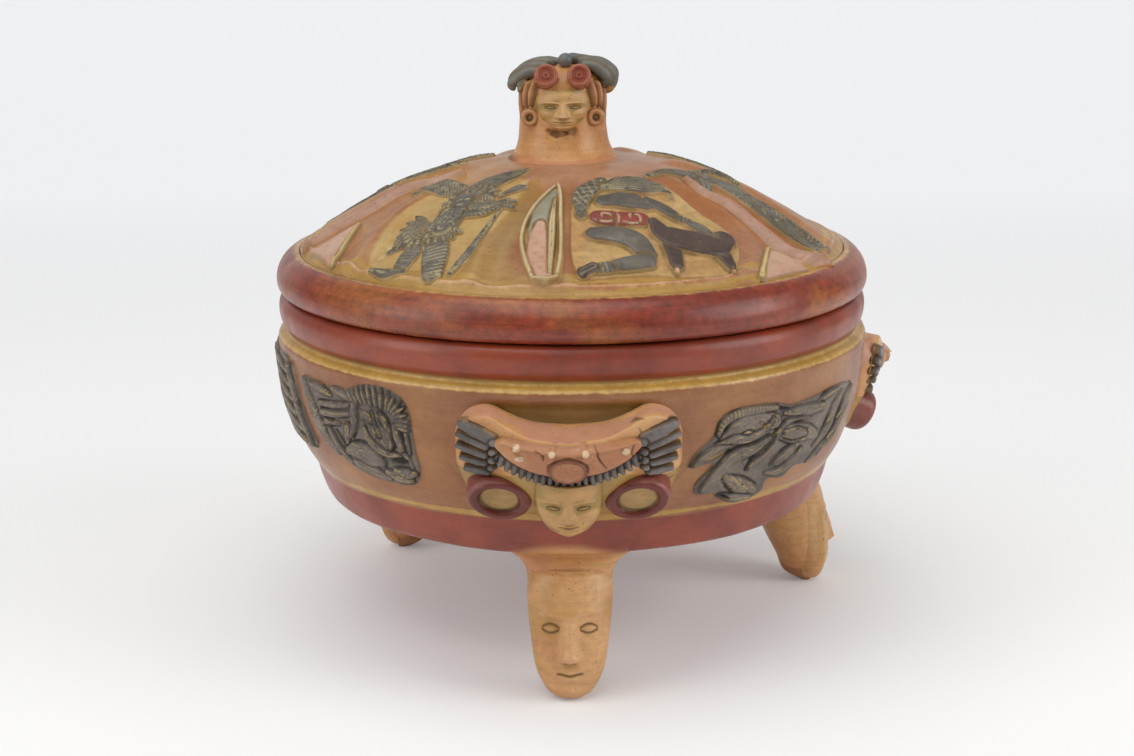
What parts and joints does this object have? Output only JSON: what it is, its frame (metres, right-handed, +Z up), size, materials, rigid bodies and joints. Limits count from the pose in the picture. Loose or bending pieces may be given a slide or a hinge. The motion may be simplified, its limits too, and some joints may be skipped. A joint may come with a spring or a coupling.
{
  "type": "tripod vessel with lid",
  "caption": "Round clay bowl on tapered legs with face lugs and relief panels, and a domed lid that lifts off by a modelled knob.",
  "frame": {"origin": "on the table, under the middle of the whole vessel's box", "axes": "+Z up along the bowl's axis, -Y out of the front leg, +X to the front's right"},
  "size_m": [0.2902, 0.2928, 0.261],
  "materials": {
    "red_slip": "burnished",
    "tan_slip": "burnished",
    "dark_slip": "satin",
    "raw_clay": "matte",
    "pale_slip": "satin"
  },
  "bodies": {
    "bowl": {"bowl": "red_slip", "leg_front": "tan_slip", "foot_mask_front": "raw_clay", "lug_headdress_front": "tan_slip", "lug_headband_front": "tan_slip", "lug_feathers_front": "dark_slip", "lug_face_front": "raw_clay", "lug_spool_left_front": "red_slip", "lug_spool_right_front": "red_slip", "leg_right": "tan_slip", "foot_mask_right": "raw_clay", "lug_headdress_right": "tan_slip", "lug_headband_right": "tan_slip", "lug_feathers_right": "dark_slip", "lug_face_right": "raw_clay", "lug_spool_left_right": "red_slip", "lug_spool_right_right": "red_slip", "leg_left": "tan_slip", "foot_mask_left": "raw_clay", "lug_headdress_left": "tan_slip", "lug_headband_left": "tan_slip", "lug_feathers_left": "dark_slip", "lug_face_left": "raw_clay", "lug_spool_left_left": "red_slip", "lug_spool_right_left": "red_slip", "wall_relief_head": "dark_slip", "wall_relief_feathers": "dark_slip", "wall_relief_serpent": "dark_slip", "wall_relief_back": "dark_slip"},
    "lid": {"lid_dome": "tan_slip", "lid_coil": "red_slip", "knob": "tan_slip", "knob_face": "raw_clay", "knob_crest": "dark_slip", "knob_goggle_left": "red_slip", "knob_goggle_right": "red_slip", "knob_spool_left": "raw_clay", "knob_spool_right": "raw_clay", "lid_leaf_front": "pale_slip", "lid_leaf_back": "pale_slip", "lid_relief_dancer": "dark_slip", "lid_relief_kneeler": "dark_slip", "lid_relief_right": "dark_slip", "lid_relief_left": "dark_slip", "lid_relief_back_right": "dark_slip", "lid_relief_back_left": "dark_slip", "lid_ridge_right": "tan_slip", "lid_ridge_left": "tan_slip", "lid_triangle_right": "pale_slip", "lid_triangle_left": "pale_slip"}
  },
  "joints": [
    {"name": "lid_lift", "type": "slide", "parent": "bowl", "child": "lid", "axis": [0, 0, 1], "range_m": [0, 0.12]}
  ]
}
